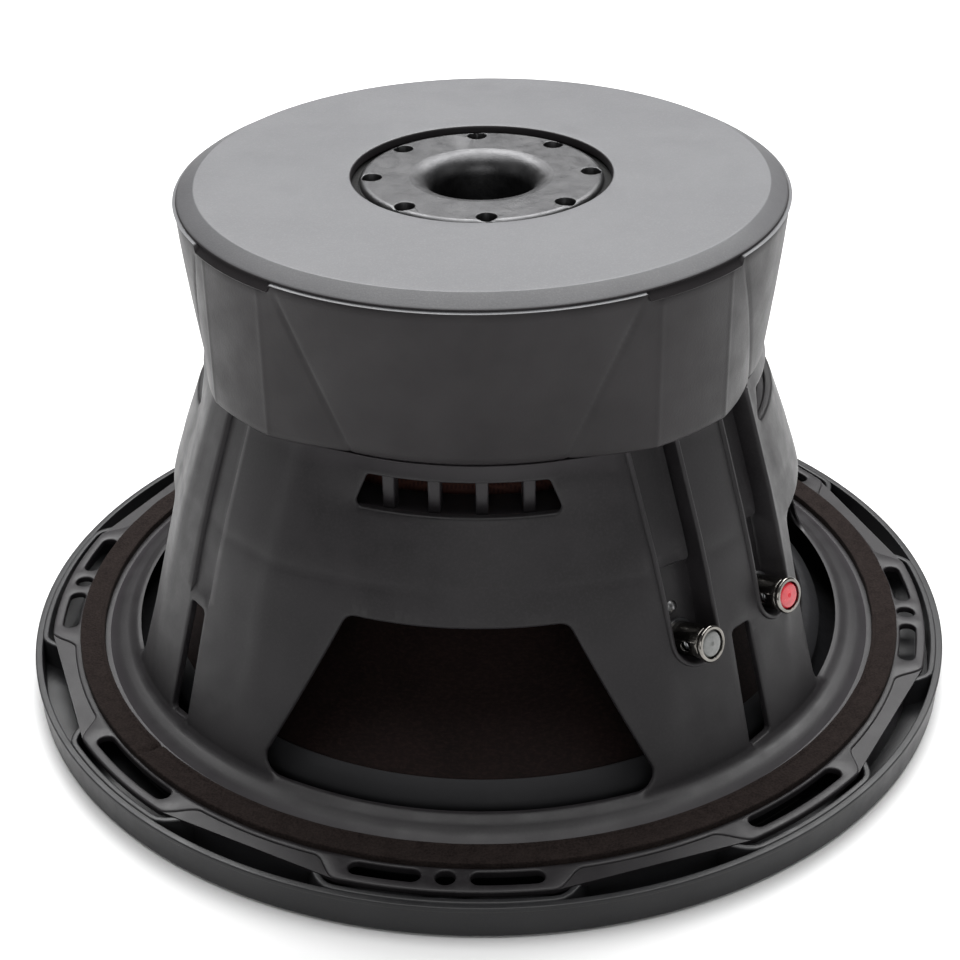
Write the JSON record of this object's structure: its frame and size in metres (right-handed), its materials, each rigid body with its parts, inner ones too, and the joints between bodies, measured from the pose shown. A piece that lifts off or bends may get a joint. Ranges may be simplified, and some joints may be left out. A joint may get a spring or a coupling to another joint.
{
  "type": "car subwoofer speaker",
  "caption": "Twelve inch car subwoofer driver on its front ring: open basket, rubber booted magnet, vented pole, sprung cone and push terminals.",
  "frame": {"origin": "centre of the trim ring's front face, the plane the speaker stands on when its magnet points up", "axes": "+Z from the front face to the magnet; -Y to the front window; turns about Z are counted from -Y towards +X"},
  "size_m": [0.326, 0.326, 0.178],
  "materials": {
    "trim": "moulded satin",
    "basket": "satin black powder coat",
    "foam": "open cell foam strip",
    "surround_rubber": "soft matte",
    "cone_paper": "fibre loaded pressed pulp",
    "cap_plastic": "satin",
    "former_foil": "rolled foil",
    "copper_wire": "enamelled copper",
    "spider_cloth": "resin treated woven cloth",
    "steel": "zinc plated, blasted",
    "ferrite": "sintered, ground faces",
    "boot_rubber": "fine grained",
    "screw_steel": "black zinc",
    "block_plastic": "moulded",
    "rivet_metal": "plain",
    "terminal_metal": "dark chrome plate",
    "red_insert": "polished",
    "grey_insert": "polished",
    "spring_steel": "drawn",
    "eyelet_brass": "plain",
    "tinsel_braid": "woven copper and cotton braid"
  },
  "bodies": {
    "basket_and_motor": {"frame": "basket", "trim_ring": "trim", "rear_gasket": "foam", "top_plate": "steel", "front_magnet": "ferrite", "rear_magnet": "ferrite", "back_plate_and_pole": "steel", "magnet_boot": "boot_rubber", "frame_screws": "screw_steel", "terminal_block": "block_plastic", "terminal_rivets": "rivet_metal", "terminal_post_positive": "terminal_metal", "terminal_post_negative": "terminal_metal", "cap_spring_positive": "spring_steel", "cap_spring_negative": "spring_steel", "tinsel_lead_positive": "tinsel_braid", "tinsel_lead_negative": "tinsel_braid"},
    "cone_assembly": {"cone": "cone_paper", "dust_cap": "cap_plastic", "coil_former": "former_foil", "voice_coil": "copper_wire", "spider": "spider_cloth", "surround": "surround_rubber", "lead_eyelets": "eyelet_brass"},
    "red_push_cap": {"push_cap_positive": "red_insert"},
    "black_push_cap": {"push_cap_negative": "grey_insert"}
  },
  "joints": [
    {"name": "cone_stroke", "type": "slide", "parent": "basket_and_motor", "child": "cone_assembly", "axis": [0, 0, 1], "range_m": [-0.011, 0.011], "stiffness_N_per_m": 4600, "deforming": ["surround", "spider", "tinsel_lead_positive", "tinsel_lead_negative"]},
    {"name": "red_push", "type": "slide", "parent": "basket_and_motor", "child": "red_push_cap", "axis": [-0.7246, 0.6299, -0.2795], "range_m": [0, 0.003], "stiffness_N_per_m": 600, "springref_m": -0.001, "deforming": ["cap_spring_positive"]},
    {"name": "black_push", "type": "slide", "parent": "basket_and_motor", "child": "black_push_cap", "axis": [-0.7246, 0.6299, -0.2795], "range_m": [0, 0.003], "stiffness_N_per_m": 600, "springref_m": -0.001, "deforming": ["cap_spring_negative"]}
  ]
}
